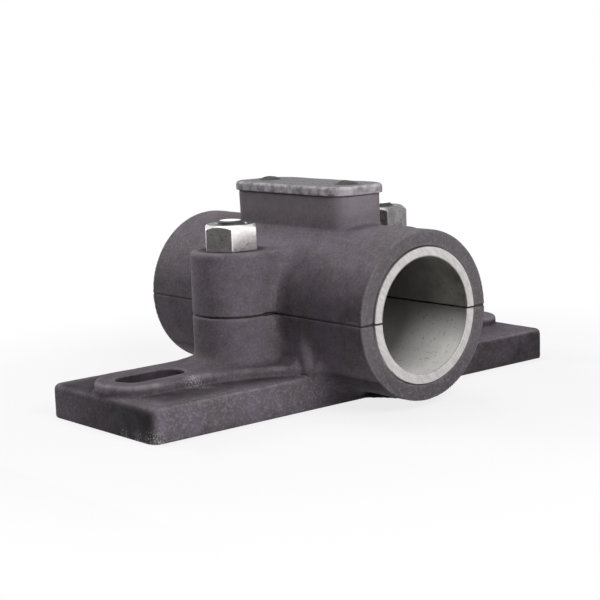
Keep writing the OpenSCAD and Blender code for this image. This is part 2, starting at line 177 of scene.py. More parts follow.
def castIronMaterial(name, look):
    mat, tree, shader = newMaterial(name)
    coords = objectCoords(tree)
    cloud = noiseOf(tree, coords, look["cloudScale"], 4.0, 0.6)
    blotch = noiseOf(tree, coords, look["blotchScale"], 3.0, 0.6)
    grain = noiseOf(tree, coords, look["grainScale"], 3.0, 0.6)
    sand = noiseOf(tree, coords, look["sandScale"], 2.0, 0.5)
    patch = mathOf(tree, "ADD", mathOf(tree, "MULTIPLY", cloud, 0.5), mathOf(tree, "MULTIPLY", blotch, 0.5))
    tone = mixColour(tree, rampOf(tree, patch, *look["patchFrom"]), look["deepTone"], look["tone"])
    place = addNode(tree, "SeparateXYZ", {0: coords})
    along = addNode(tree, "Math", {0: place.outputs["Y"]}, operation="ABSOLUTE").outputs["Value"]
    ground = rampOf(tree, along, *look["groundFrom"], 0.0, look["groundAmount"])
    tone = mixColour(tree, ground, tone, look["groundTone"])
    tank = rampOf(tree, place.outputs["Z"], *look["tankFrom"], 0.0, look["tankAmount"])
    tone = mixColour(tree, tank, tone, look["tankTone"])
    low = rampOf(tree, place.outputs["Z"], *look["footFrom"], *look["grainAmount"])  # the foot is the coarsest
    grains = mathOf(tree, "MULTIPLY", low, rampOf(tree, grain, *look["grainFrom"]))
    tone = mixColour(tree, grains, tone, look["grainTone"])
    tone = mixColour(tree, rampOf(tree, grain, *look["pitFrom"], 0.0, look["pitAmount"]), tone, look["pitTone"])
    # painted shade: darker where the point attribute is set, in cloudy patches
    paintedShade = addNode(tree, "Attribute", attribute_name="paintedShade").outputs["Fac"]
    shadeStrength = mathOf(tree, "MULTIPLY", paintedShade, rampOf(tree, patch, *look["paintedShadeFrom"], *look["paintedShadeAmount"]))
    tone = mixColour(tree, shadeStrength, tone, look["paintedShadeTone"])
    # edge wear on outer edges, and painted highlights that share the same attribute
    edge = addNode(tree, "Attribute", attribute_name="edgeWearAndHighlight").outputs["Fac"]
    wearAndHighlightPatch = rampOf(tree, blotch, *look["wearAndHighlightPatchFrom"], look["wearAndHighlightPatchLeast"] * look["wearAndHighlight"], look["wearAndHighlight"])
    tone = mixColour(tree, mathOf(tree, "MULTIPLY", edge, wearAndHighlightPatch), tone, look["wornAndLitTone"])
    for scuff in look["scuffs"]:
        away = addNode(tree, "VectorMath", {0: coords, 1: scuff["place"]}, operation="DISTANCE").outputs["Value"]
        near = rampOf(tree, away, 0.0, scuff["reach"], scuff["amount"], 0.0)
        chips = mathOf(tree, "MULTIPLY", near, rampOf(tree, sand, *look["scuffFrom"]))
        tone = mixColour(tree, chips, tone, look["scuffTone"])
    tree.links.new(tone, shader.inputs["Base Color"])
    matt = rampOf(tree, grain, *look["mattFrom"],
                  look["roughness"] + look["mattSpread"], look["roughness"] - look["mattSpread"])
    matt = mathOf(tree, "ADD", matt, mathOf(tree, "MULTIPLY", paintedShade, look["paintedShadeMatt"]))
    tree.links.new(matt, shader.inputs["Roughness"])
    shader.inputs["Specular IOR Level"].default_value = look["gloss"]
    rough = bumpOf(tree, grain, look["grainHeight"])
    tree.links.new(bumpOf(tree, sand, look["sandHeight"], rough), shader.inputs["Normal"])
    return mat


# White bearing metal: bored dull inside, faced bright on its ends, with the cutter's rings on both, and painted shade
# in the bore, darker towards the parting line and deeper inside
whiteMetal = {
    "boreTone": linear(242, 240, 237),
    "faceTone": linear(184, 181, 180),
    "stainTone": linear(132, 129, 127),
    "boreStain": linear(228, 225, 222),
    "pitTone": linear(70, 68, 64),
    "boreShadeTone": linear(74, 72, 70),
    "boreShadeUp": (0.0240, 0.0385),
    "boreShadeIn": (0.036, 0.066),
    "boreShadeAmount": 0.9,
    "faceFrom": (0.0720, 0.0726),
    "faceInner": (0.0240, 0.0243),
    "cloudScale": 90.0,
    "cloudFrom": (0.35, 0.7),
    "cloudAmount": 0.8,
    "pitScale": 700.0,
    "pitFrom": (0.37, 0.28),
    "pitAmount": 0.6,
    "filedFrom": (0.38, 0.68),
    "filedAmount": 0.6,
    "boreRings": (60.0, 2600.0, 60.0),
    "faceMarks": (1900.0, 60.0, 260.0),
    "faceTurn": (0.0, 0.7, 0.0),
    "ringHeight": 0.00002,
    "ringFrom": (0.3, 0.7),
    "roughness": (0.40, 0.56),
    "metallic": 0.25,
}


def whiteMetalMaterial(name, look):
    mat, tree, shader = newMaterial(name)
    coords = objectCoords(tree)
    place = addNode(tree, "SeparateXYZ", {0: coords})
    along = addNode(tree, "Math", {0: place.outputs["Y"]}, operation="ABSOLUTE").outputs["Value"]
    across = addNode(tree, "VectorMath", {0: coords, 1: (1.0, 0.0, 1.0)}, operation="MULTIPLY").outputs["Vector"]
    across = addNode(tree, "VectorMath", {0: across, 1: (0.0, 0.0, shaftHeight)}, operation="DISTANCE").outputs["Value"]
    faced = mathOf(tree, "MULTIPLY", rampOf(tree, along, *look["faceFrom"]), rampOf(tree, across, *look["faceInner"]))
    rings = noiseOf(tree, stretchOf(tree, coords, look["boreRings"]), 1.0, 3.0, 0.6)
    lean = addNode(tree, "Mapping", {"Vector": coords, "Rotation": look["faceTurn"]}).outputs["Vector"]
    filed = noiseOf(tree, stretchOf(tree, lean, look["faceMarks"]), 1.0, 3.0, 0.65)
    cloud = noiseOf(tree, coords, look["cloudScale"], 5.0, 0.65)
    pits = noiseOf(tree, coords, look["pitScale"], 2.0, 0.5)
    stain = rampOf(tree, cloud, *look["cloudFrom"], 0.0, look["cloudAmount"])
    bore = mixColour(tree, stain, look["boreTone"], look["boreStain"])
    # painted shade: darker towards the parting line and deeper inside the bore
    boreShadeUp = rampOf(tree, place.outputs["Z"], *look["boreShadeUp"], 0.0, look["boreShadeAmount"])
    bore = mixColour(tree, boreShadeUp, bore, look["boreShadeTone"])
    boreShadeIn = rampOf(tree, along, *look["boreShadeIn"], look["boreShadeAmount"], 0.0)
    bore = mixColour(tree, boreShadeIn, bore, look["boreShadeTone"])
    bore = mixColour(tree, rampOf(tree, pits, *look["pitFrom"], 0.0, look["pitAmount"]), bore, look["pitTone"])
    marks = rampOf(tree, filed, *look["filedFrom"], 0.0, look["filedAmount"])
    face = mixColour(tree, marks, look["faceTone"], look["stainTone"])
    tree.links.new(mixColour(tree, faced, bore, face), shader.inputs["Base Color"])
    tree.links.new(rampOf(tree, rings, *look["ringFrom"], *look["roughness"]), shader.inputs["Roughness"])
    shader.inputs["Metallic"].default_value = look["metallic"]
    tree.links.new(bumpOf(tree, rings, look["ringHeight"]), shader.inputs["Normal"])
    return mat


# Steel of the fasteners: a cloudy tone, fine drawn marks and small dark pits in the plating, and where top is
# given, another tone above that height, a painted reflection: dark on a nut's top flat, white on the bolt's end
steelGrain = {"cloudScale": 220.0, "cloudFrom": (0.35, 0.7), "pitScale": 800.0, "pitFrom": (0.36, 0.27),
              "markFrom": (0.3, 0.7)}


def steelMaterial(name, look):
    mat, tree, shader = newMaterial(name)
    coords = objectCoords(tree)
    marks = noiseOf(tree, stretchOf(tree, coords, look["marks"]), 1.0, 3.0, 0.6)
    cloud = noiseOf(tree, coords, look["cloudScale"], 4.0, 0.6)
    pits = noiseOf(tree, coords, look["pitScale"], 2.0, 0.5)
    tone = mixColour(tree, rampOf(tree, cloud, *look["cloudFrom"]), look["tone"], look["dullTone"])
    tone = mixColour(tree, rampOf(tree, pits, *look["pitFrom"], 0.0, look["pits"]), tone, look["pitTone"])
    if "top" in look:
        up = addNode(tree, "SeparateXYZ", {0: coords}).outputs["Z"]
        tone = mixColour(tree, rampOf(tree, up, *look["top"]), tone, look["topReflectionTone"])
    tree.links.new(tone, shader.inputs["Base Color"])
    tree.links.new(rampOf(tree, marks, *look["markFrom"], *look["roughness"]), shader.inputs["Roughness"])
    shader.inputs["Metallic"].default_value = look["metallic"]
    tree.links.new(bumpOf(tree, marks, look["markHeight"]), shader.inputs["Normal"])
    return mat


# The near nut: its top flat dark, a painted reflection
platedSteel = {
    **steelGrain, "tone": linear(222, 217, 217), "dullTone": linear(196, 191, 190), "pitTone": linear(44, 41, 40),
    "marks": (500.0, 500.0, 1800.0), "markHeight": 0.00003, "roughness": (0.26, 0.42), "metallic": 0.88,
    "pits": 0.6, "top": (0.0777, 0.0778), "topReflectionTone": linear(60, 57, 57)}
# The far nut: a darker copy of the plated steel, painted shade
shadedPlatedSteel = {**platedSteel, "tone": linear(138, 135, 136), "dullTone": linear(106, 103, 104)}
rolledSteel = {
    **steelGrain, "tone": linear(34, 31, 31), "dullTone": linear(26, 24, 24), "pitTone": linear(22, 20, 20),
    "marks": (300.0, 300.0, 900.0), "markHeight": 0.00002, "roughness": (0.74, 0.90), "metallic": 0.1,
    "pits": 0.75}
# The bolt: dark all over as a painted reflection, and white on its end disc as a painted highlight
boltSteel = {
    **steelGrain, "tone": linear(52, 50, 49), "dullTone": linear(38, 36, 35), "pitTone": linear(30, 28, 27),
    "marks": (500.0, 500.0, 900.0), "markHeight": 0.00003, "roughness": (0.44, 0.60), "metallic": 0.5,
    "pits": 0.75, "top": (0.0792, 0.0793), "topReflectionTone": linear(238, 237, 235)}
blackedSteel = {
    **steelGrain, "tone": linear(46, 46, 42), "dullTone": linear(34, 34, 31), "pitTone": linear(28, 27, 25),
    "marks": (600.0, 600.0, 600.0), "markHeight": 0.00003, "roughness": (0.44, 0.60), "metallic": 0.6,
    "pits": 0.75}

castingMat = castIronMaterial("castIronCoat", castIron)
coverMat = castIronMaterial("coverCoat", {
    **castIron, "tone": linear(104, 100, 103), "deepTone": linear(48, 46, 47), "grainTone": linear(136, 132, 134),
    "groundTone": linear(104, 100, 103), "tankTone": linear(84, 81, 83), "grainHeight": 0.00016,
    "blotchScale": 260.0, "pitTone": linear(40, 38, 38), "wornAndLitTone": linear(190, 184, 188),
    "roughness": 0.5, "gloss": 0.12, "wearAndHighlight": 1.0, "scuffs": []})
lowerMat = whiteMetalMaterial("boredWhiteMetal", whiteMetal)
# The upper lining: a darker copy of the white metal in its bore, painted shade on the half that faces down
upperMat = whiteMetalMaterial("shadedWhiteMetal", {
    **whiteMetal, "boreTone": linear(126, 123, 118), "boreStain": linear(62, 60, 56),
    "boreShadeUp": (0.2, 0.5), "faceInner": (0.02485, 0.02515)})
platedMat = steelMaterial("platedSteel", platedSteel)
shadedPlatedMat = steelMaterial("shadedPlatedSteel", shadedPlatedSteel)
boltMat = steelMaterial("boltSteel", boltSteel)
shimMat = steelMaterial("rolledSteel", rolledSteel)
screwMat = steelMaterial("blackedSteel", blackedSteel)
print("materials made")


def linkPiece(name, mesh, finish):
    mesh.materials.clear()
    mesh.materials.append(finish)
    obj = bpy.data.objects.new(name, mesh)
    scene.collection.objects.link(obj)
    return obj


def meshPoints(mesh, what="co"):
    flat = np.empty(len(mesh.vertices) * 3, dtype=np.float32)
    mesh.vertices.foreach_get(what, flat)
    return flat.reshape(-1, 3).astype(float)


# Copy of a CAD mesh with its split corners merged
def mergedCopy(nodeName, name, flatAngle=None):
    shell = bmesh.new()
    shell.from_mesh(nodes[nodeName].data)
    bmesh.ops.remove_doubles(shell, verts=shell.verts, dist=1e-6)
    if flatAngle is not None:
        bmesh.ops.dissolve_limit(shell, angle_limit=flatAngle, verts=shell.verts, edges=shell.edges)
    mesh = bpy.data.meshes.new(name)
    shell.to_mesh(mesh)
    shell.free()
    return mesh


def placePoints(mesh, points):
    mesh.vertices.foreach_set("co", points.astype(np.float32).ravel())


def smoothFaces(mesh):
    mesh.polygons.foreach_set("use_smooth", np.ones(len(mesh.polygons), dtype=bool))


def standFor(obj, nodeName):
    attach(obj, "root")
    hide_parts(nodeName)


def bakedMesh(obj):
    evaluated = obj.evaluated_get(bpy.context.evaluated_depsgraph_get())
    return bpy.data.meshes.new_from_object(evaluated)


# Cast pieces: the true form, re-skinned so that every edge is soft, then thinned. voxel is the size of the new skin,
# soften the passes of smoothing, melt those in the hollows, wave the height of its unevenness, seats the heights that
# stay flat, parting the split's height and the side it lies on, edges the strength of the edge wear and the painted
# highlights that share it, and rim a painted highlight on the upright sides
castPieces = {
    "base_casting": {"name": "footCasting", "slot": "casting", "finish": castingMat, "voxel": 0.00060,
                     "soften": 3, "melt": 60, "wave": 0.00005, "triangles": 185000, "seats": (0.0, 0.0393),
                     "parting": (0.0393, 1.0), "edges": 1.0, "rim": 0.0},
    "cap_casting": {"name": "capCasting", "slot": "casting", "finish": castingMat, "voxel": 0.00055,
                    "soften": 4, "melt": 60, "wave": 0.00005, "triangles": 185000,
                    "seats": (0.0401, 0.0667, 0.0883), "parting": (0.0401, -1.0), "edges": 1.0, "rim": 0.0},
    "reservoir_cover": {"name": "coverPlate", "slot": "cover", "finish": coverMat, "voxel": 0.00040,
                        "soften": 5, "melt": 0, "wave": 0.00004, "triangles": 60000, "seats": (0.0883,),
                        "edges": 0.75, "rim": 0.58},
}
castWaves = {"seed": 7, "count": 40, "shortest": 0.006, "longest": 0.022, "seatBand": 0.0012}
edgeLook = {"from": 60.0, "to": 330.0, "passes": 2}
hollowLook = {"bend": -45.0, "passes": 3, "spread": 7, "above": 0.022, "clearOfShaft": 0.0335}


# Straight rise from nought at start to one at end, held at both
def between(value, start, end):
    return np.clip((value - start) / (end - start), 0.0, 1.0)


# Uneven skin: the sum of plane waves in random directions, scaled to a spread of one
def waveHeight(points, look):
    draw = np.random.default_rng(look["seed"])
    heading = draw.normal(size=(look["count"], 3))
    heading /= np.linalg.norm(heading, axis=1, keepdims=True)
    length = draw.uniform(look["shortest"], look["longest"], look["count"])
    phase = draw.uniform(0.0, 2.0 * math.pi, look["count"])
    waves = points @ (heading * (2.0 * math.pi / length)[:, None]).T + phase
    return np.sin(waves).sum(axis=1) * math.sqrt(2.0 / look["count"])


# Bend of the skin: the mean curvature at each point, 2 (p - q).n / |p - q|^2 over its neighbours q,
# above nought on an outer edge and below it in a hollow, spread over a pass or two
def skinBend(mesh, passes):
    points, normals = meshPoints(mesh), meshPoints(mesh, "normal")
    count = len(points)
    ends = np.empty(len(mesh.edges) * 2, dtype=np.int32)
    mesh.edges.foreach_get("vertices", ends)
    a, b = ends.reshape(-1, 2).T
    step = points[b] - points[a]
    square = np.maximum((step ** 2).sum(axis=1), 1e-12)
    share = np.maximum(np.bincount(ends, minlength=count), 1)
    bend = np.bincount(a, -2.0 * (step * normals[a]).sum(axis=1) / square, count)
    bend += np.bincount(b, 2.0 * (step * normals[b]).sum(axis=1) / square, count)
    bend /= share
    for _ in range(passes):
        around = np.bincount(a, bend[b], count) + np.bincount(b, bend[a], count)
        bend = 0.5 * bend + 0.5 * around / share
    return bend, a, b, points


def edgeCurvature(mesh, look):
    bend = skinBend(mesh, look["passes"])[0]
    return between(bend, look["from"], look["to"])


# Where a hollow is: bent inwards more than a limit, above the foot and outside the bore, and a few rings beyond
def hollowWeight(mesh, look):
    bend, a, b, points = skinBend(mesh, look["passes"])
    weight = (bend < look["bend"]).astype(float)
    for _ in range(look["spread"]):
        grown = weight.copy()
        np.maximum.at(grown, a, weight[b])
        np.maximum.at(grown, b, weight[a])
        weight = grown
    fromShaft = np.hypot(points[:, 0], points[:, 2] - shaftHeight)
    return weight * (points[:, 2] > look["above"]) * (fromShaft > look["clearOfShaft"])


# Crisp edges of the barrel, at its ends and along the parting: in the corner of the profile, with a and b the
# distances past the start of the rounding, the rounded edge is pushed out to the curve a^n + b^n = const
rimLook = {"radius": 0.0357, "half": 0.07225, "zone": 0.0026, "partingZone": 0.0016, "power": 10.0}


def cornerPush(a, b, zone, power):
    inside = (a > 0.0) & (b > 0.0) & (a < 1.5 * zone)
    size = np.where(inside, np.hypot(a, b), 1.0)
    a, b = np.where(inside, a, 0.0), np.where(inside, b, 0.0)
    curve = np.where(inside, (a / size) ** power + (b / size) ** power, 1.0)
    push = curve ** (-1.0 / power) - 1.0
    return np.minimum(push * a, np.maximum(zone - a, 0.0)), np.minimum(push * b, np.maximum(zone - b, 0.0))


def squareEdges(points, look, parting, side):
    zone, power = look["zone"], look["power"]
    radius = np.hypot(points[:, 0], points[:, 2] - shaftHeight)
    out, along = cornerPush(radius - look["radius"] + zone, np.abs(points[:, 1]) - look["half"] + zone, zone, power)
    points[:, 0] *= 1.0 + out / radius
    points[:, 2] += (points[:, 2] - shaftHeight) * out / radius
    points[:, 1] += np.sign(points[:, 1]) * along
    zone = look["partingZone"]
    radius = np.hypot(points[:, 0], points[:, 2] - shaftHeight)
    out, along = cornerPush(radius - look["radius"] + zone, side * (points[:, 2] - parting) + zone, zone, power)
    points[:, 0] *= 1.0 + out / radius
    points[:, 2] += side * along
    return points


# Painted light on the saddle: a soft lighter column round each upright corner, on its end faces
saddleLightLook = {"x": 0.0318, "y": 0.0370, "reach": 0.0055, "low": 0.015, "high": 0.034, "fade": 0.005, "amount": 1.8}


def saddleLightAt(points, look):
    near = np.hypot(np.abs(points[:, 0]) - look["x"], np.abs(points[:, 1]) - look["y"])
    rise = np.minimum(points[:, 2] - look["low"], look["high"] - points[:, 2]) / look["fade"]
    return look["amount"] * np.clip(1.0 - near / look["reach"], 0.0, 1.0) * np.clip(rise, 0.0, 1.0)


# Lip of the slot pads: edge wear raised as a painted highlight in the band round the upper edge, past a distance from
# the line between the pads' ends
padLipHighlightLook = {"low": 0.0166, "high": 0.0196, "fromX": 0.070, "padReach": 0.0969, "past": 0.0122, "gain": 3.2}


def padLipHighlightAt(points, look):
    x = np.abs(points[:, 0])
    past = np.hypot(np.maximum(x - look["padReach"], 0.0), points[:, 1]) > look["past"]
    band = (points[:, 2] > look["low"]) & (points[:, 2] < look["high"]) & (x > look["fromX"])
    return 1.0 + (look["gain"] - 1.0) * (past & band)


# Painted highlight: a light line along the foot's long upper edges, where the skin slopes about halfway
footEdgeHighlightLook = {"fromY": 0.034, "low": 0.010, "high": 0.0150, "slope": 0.72, "width": 0.22, "amount": 2.6}


def footEdgeHighlightAt(points, normals, look):
    line = np.clip(1.0 - np.abs(normals[:, 2] - look["slope"]) / look["width"], 0.0, 1.0)
    edge = (np.abs(points[:, 1]) > look["fromY"]) & (points[:, 2] > look["low"]) & (points[:, 2] < look["high"])
    return look["amount"] * line * edge


# Painted shade: darker on the flat of the foot, less on the raised pads and the long edges, darker on the foot's ends,
# the right foot's sides, the corner under each pad, the barrel's flanks and the nuts' seats, and filling the slots
paintedShadeLook = {
    "footTop": 0.0145, "padTop": 0.0190,
    "flat": 0.92, "pad": 0.36, "flatHeights": (0.026, 0.020),
    "lessShadeAtEdges": 0.75, "lessShadeAtEdgesFrom": (0.028, 0.035),
    "lessShadeNearEnds": 0.6, "lessShadeNearEndsX": (0.100, 0.106), "lessShadeNearEndsY": (-0.002, -0.014),
    "rightSide": (0.030, 0.070), "lessShadeOnRight": 0.5, "rightSideShade": 0.95, "rightSideShadeBelow": 0.021,
    "tank": 0.3, "tankAbove": 0.074,
    "ends": 0.95, "endsOver": 0.001, "endsMiddle": 0.8, "endsSlope": 13.0,
    "bottom": 0.4, "bottomHeights": (0.006, 0.0),
    "corner": 0.62, "cornerUp": 0.0011, "cornerTall": 0.0022, "cornerX": (0.068, 0.1125), "cornerInner": 0.5,
    "slotX": 0.089, "slotHalf": 0.0166, "slotWide": 0.0074, "slotDown": 0.0006,
    "barrel": 0.55, "barrelRadius": 0.0368, "barrelHalf": 0.0715,
    "barrelHigh": (0.064, 0.046), "barrelLow": (0.016, 0.036),
    "barrelNear": 0.7, "barrelFar": 0.5, "barrelEnd": 0.7, "barrelEndFrom": (0.035, 0.065),
    "seat": 0.8, "seatReach": (0.0155, 0.0125), "seatAbove": 0.060, "boltX": 0.0438,
    "ground": 0.3, "groundHeights": (0.024, 0.012),
}


def paintedShadeAt(points, normals, look):
    x, y, z = np.abs(points[:, 0]), np.abs(points[:, 1]), points[:, 2]
    up, sideways = np.clip(normals[:, 2], 0.0, 1.0) ** 2, normals[:, 0] ** 2
    onPad = between(z, look["footTop"], look["padTop"])
    lying = up * (look["flat"] + (look["pad"] - look["flat"]) * onPad) * between(z, *look["flatHeights"])
    lying *= 1.0 - look["lessShadeAtEdges"] * between(y, *look["lessShadeAtEdgesFrom"])
    lessShadeNearEnds = between(x, *look["lessShadeNearEndsX"]) * between(points[:, 1], *look["lessShadeNearEndsY"])
    lying *= 1.0 - look["lessShadeNearEnds"] * lessShadeNearEnds  # less painted shade at the near ends
    right = between(points[:, 0], *look["rightSide"])
    lying *= 1.0 - look["lessShadeOnRight"] * right
    rightSideShade = look["rightSideShade"] * (1.0 - up) * right * (z < look["rightSideShadeBelow"])
    tank = look["tank"] * sideways * (z > look["tankAbove"])
    ends = look["ends"] * sideways * (z < look["footTop"] + look["endsOver"])
    ends *= look["endsMiddle"] - look["endsSlope"] * points[:, 1]
    bottom = look["bottom"] * between(z, *look["bottomHeights"])
    offCorner = np.abs(z - look["footTop"] - look["cornerUp"])
    inner, outer = look["cornerX"]
    corner = look["corner"] * between(offCorner, look["cornerTall"], 0.0) * (x < outer)
    corner *= np.where(x > inner, 1.0, look["cornerInner"])
    past = np.hypot(np.maximum(np.abs(x - look["slotX"]) - look["slotHalf"] + look["slotWide"], 0.0), y)
    slot = (past < look["slotWide"]) & (z < look["padTop"] - look["slotDown"])
    onBarrel = (np.hypot(x, z - shaftHeight) < look["barrelRadius"]) & (y < look["barrelHalf"])
    barrel = look["barrel"] * onBarrel * between(z, *look["barrelHigh"]) * between(z, *look["barrelLow"])
    near = look["barrelNear"] + look["barrelEnd"] * between(y, *look["barrelEndFrom"])
    barrel *= np.where(points[:, 1] < 0.0, near, look["barrelFar"])
    fromBolt = np.hypot(x - look["boltX"], y)
    seat = look["seat"] * between(fromBolt, *look["seatReach"]) * (z > look["seatAbove"]) * up
    ground = look["ground"] * (y > look["barrelHalf"]) * between(z, *look["groundHeights"])
    return np.max([lying, rightSideShade, tank, ends, bottom, corner, slot.astype(float), barrel, seat, ground], axis=0)


def castPiece(nodeName, look):
    obj = linkPiece(look["name"], mergedCopy(nodeName, look["name"]), look["finish"])
    skin = obj.modifiers.new("skin", "REMESH")
    skin.mode = "VOXEL"
    skin.voxel_size = look["voxel"]
    skin.use_smooth_shade = True
    soften = obj.modifiers.new("soften", "SMOOTH")
    soften.factor = 0.5
    soften.iterations = look["soften"]
    fine = bakedMesh(obj)
    fine.calc_loop_triangles()
    if look["melt"]:  # fuller hollows where bosses, reservoir and barrel grow into one another
        obj.modifiers.clear()
        obj.data = fine
        weight = hollowWeight(fine, hollowLook)
        group = obj.vertex_groups.new(name="hollow")
        group.add(np.flatnonzero(weight > 0.5).tolist(), 1.0, "REPLACE")
        melt = obj.modifiers.new("melt", "SMOOTH")
        melt.factor = 0.5
        melt.iterations = look["melt"]
        melt.vertex_group = "hollow"
    thin = obj.modifiers.new("thin", "DECIMATE")
    thin.ratio = min(1.0, look["triangles"] / len(fine.loop_triangles))
    final = bakedMesh(obj)
    obj.modifiers.clear()
    obj.data = final
    obj.vertex_groups.clear()
    bpy.data.meshes.remove(fine)
    points, normals = meshPoints(final), meshPoints(final, "normal")
    if look["wave"] > 0.0:
        free = np.ones(len(points))
        for seat in look["seats"]:
            free = np.minimum(free, np.clip(np.abs(points[:, 2] - seat) / castWaves["seatBand"] - 0.2, 0.0, 1.0))
        points += normals * (look["wave"] * free * waveHeight(points, castWaves))[:, None]
        if "parting" in look:
            points = squareEdges(points, rimLook, *look["parting"])
        points = np.clip(points, *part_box(nodeName))
        placePoints(final, points)
    # painted shade, stored on each point
    paintedShade = final.attributes.new("paintedShade", "FLOAT", "POINT")
    paintedShade.data.foreach_set("value", paintedShadeAt(points, normals, paintedShadeLook).astype(np.float32))
    # edge wear, and painted highlights on the saddle's corners, the pads' lips, the foot's long edges and the cover's
    # upright sides
    wearAndHighlight = final.attributes.new("edgeWearAndHighlight", "FLOAT", "POINT")
    wornAndLit = np.maximum(edgeCurvature(final, edgeLook) * padLipHighlightAt(points, padLipHighlightLook), saddleLightAt(points, saddleLightLook))
    wornAndLit = np.maximum(wornAndLit, footEdgeHighlightAt(points, normals, footEdgeHighlightLook))
    wornAndLit = np.maximum(wornAndLit * look["edges"], look["rim"] * (1.0 - np.clip(normals[:, 2], 0.0, 1.0)))
    wearAndHighlight.data.foreach_set("value", wornAndLit.astype(np.float32))
    final.materials.clear()
    final.materials.append(look["finish"])
    smoothFaces(final)
    final.update()
    standFor(obj, nodeName)
    print("cast piece", look["name"], len(final.polygons), "faces")


for nodeName, look in castPieces.items():
    castPiece(nodeName, look)


# Linings: machined, so their edges stay crisp, with a hairline bevel to catch the light
liningLook = {"flatAngle": math.radians(1.0), "bevel": 0.00022, "segments": 2, "bevelAngle": math.radians(40.0),
              "pieces": {"lower_liner": ("lowerLining", lowerMat), "upper_liner": ("upperLining", upperMat)}}


def makeLining(nodeName, look):
    name, finish = look["pieces"][nodeName]
    mesh = mergedCopy(nodeName, name, look["flatAngle"])
    obj = linkPiece(name, mesh, finish)
    smoothFaces(mesh)
    mesh.set_sharp_from_angle(angle=sharpAngle)
    bevel = obj.modifiers.new("bevel", "BEVEL")
    bevel.width = look["bevel"]
    bevel.segments = look["segments"]
    bevel.limit_method = "ANGLE"
    bevel.angle_limit = look["bevelAngle"]
    bevel.harden_normals = True
    standFor(obj, nodeName)


for nodeName in liningLook["pieces"]:
    makeLining(nodeName, liningLook)
print("linings made")


# Shims: the true form with its outer edges brought nearly flush with the barrel, as on the real block
shimLook = {"side": 0.0351, "end": 0.07165, "near": 0.0001, "outBy": 0.00038,
            "names": {"left_shim_lower": "leftShimLow", "left_shim_upper": "leftShimHigh",
                      "right_shim_lower": "rightShimLow", "right_shim_upper": "rightShimHigh"}}


def makeShim(nodeName, look):
    mesh = mergedCopy(nodeName, look["names"][nodeName])
    points = meshPoints(mesh)
    onSide = np.abs(np.abs(points[:, 0]) - look["side"]) < look["near"]
    onEnd = np.abs(np.abs(points[:, 1]) - look["end"]) < look["near"]
    points[:, 0] += np.sign(points[:, 0]) * look["outBy"] * onSide
    points[:, 1] += np.sign(points[:, 1]) * look["outBy"] * onEnd
    placePoints(mesh, points)
    mesh.update()
    obj = linkPiece(look["names"][nodeName], mesh, shimMat)
    standFor(obj, nodeName)


for nodeName in shimLook["names"]:
    makeShim(nodeName, shimLook)
print("shims made")


# Cover screws: the true form with its head pressed flatter and spread a little, as on the real block
screwLook = {"seat": 0.0923, "headFrom": 0.09225, "flatten": 0.78, "spread": 1.12,
             "names": {"front_cover_screw": "frontScrew", "rear_cover_screw": "rearScrew"}}


def makeScrew(nodeName, look):
    mesh = mergedCopy(nodeName, look["names"][nodeName])
    low, high = (np.array(c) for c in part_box(nodeName))
    middle = (low + high)[:2] / 2.0
    points = meshPoints(mesh)
    head = points[:, 2] > look["headFrom"]
    points[head, :2] = middle + (points[head, :2] - middle) * look["spread"]
    points[head, 2] = look["seat"] + (points[head, 2] - look["seat"]) * look["flatten"]
    placePoints(mesh, points)
    smoothFaces(mesh)
    mesh.set_sharp_from_angle(angle=sharpAngle)
    mesh.update()
    obj = linkPiece(look["names"][nodeName], mesh, screwMat)
    standFor(obj, nodeName)


for nodeName in screwLook["names"]:
    makeScrew(nodeName, screwLook)
print("cover screws made")


# Mesh of a grid of points, rows down the profile and columns round the axis, with both ends closed to a point
# or the last row joined to the first
def gridMesh(name, grid, ring):
    rows, columns = grid.shape[:2]
    index = np.arange(rows * columns).reshape(rows, columns)
    after = np.roll(index, -1, axis=1)
    if ring:
        low, lowAfter = np.roll(index, -1, axis=0), np.roll(after, -1, axis=0)
        quads = np.stack([index, low, lowAfter, after], axis=-1).reshape(-1, 4)
        faces, points = quads.tolist(), grid.reshape(-1, 3)
    else:
        quads = np.stack([index[:-1], index[1:], after[1:], after[:-1]], axis=-1).reshape(-1, 4)
        top, bottom = rows * columns, rows * columns + 1
        points = np.concatenate([grid.reshape(-1, 3), [grid[0].mean(axis=0), grid[-1].mean(axis=0)]])
        crown = np.stack([index[0], after[0], np.full(columns, top)], axis=-1)
        base = np.stack([after[-1], index[-1], np.full(columns, bottom)], axis=-1)
        faces = quads.tolist() + crown.tolist() + base.tolist()
    mesh = bpy.data.meshes.new(name)
    mesh.from_pydata(points.tolist(), [], faces)
    shell = bmesh.new()
    shell.from_mesh(mesh)
    bmesh.ops.recalc_face_normals(shell, faces=shell.faces)
    shell.to_mesh(mesh)
    shell.free()
    smoothFaces(mesh)
    mesh.update()
    return mesh


# Profile with its corners rounded: each inner corner becomes a quadratic curve between two points set back from
# it. radius and height have one row for each corner and one column for each step round the axis
def roundedProfile(radius, height, setBack, steps=4):
    corner = np.stack([radius, height], axis=-1)
    rows = [corner[:1]]
    t = np.linspace(0.0, 1.0, steps)[:, None, None]
    for k in range(1, len(corner) - 1):
        before, after = corner[k - 1] - corner[k], corner[k + 1] - corner[k]
        reach = np.minimum(np.linalg.norm(before, axis=-1), np.linalg.norm(after, axis=-1)) * 0.45
        back = np.minimum(setBack[k], reach)[:, None]
        start = corner[k] + before / np.linalg.norm(before, axis=-1, keepdims=True) * back
        end = corner[k] + after / np.linalg.norm(after, axis=-1, keepdims=True) * back
        rows.append((1 - t) ** 2 * start + 2 * t * (1 - t) * corner[k] + t ** 2 * end)
    rows.append(corner[-1:])
    return np.concatenate(rows)


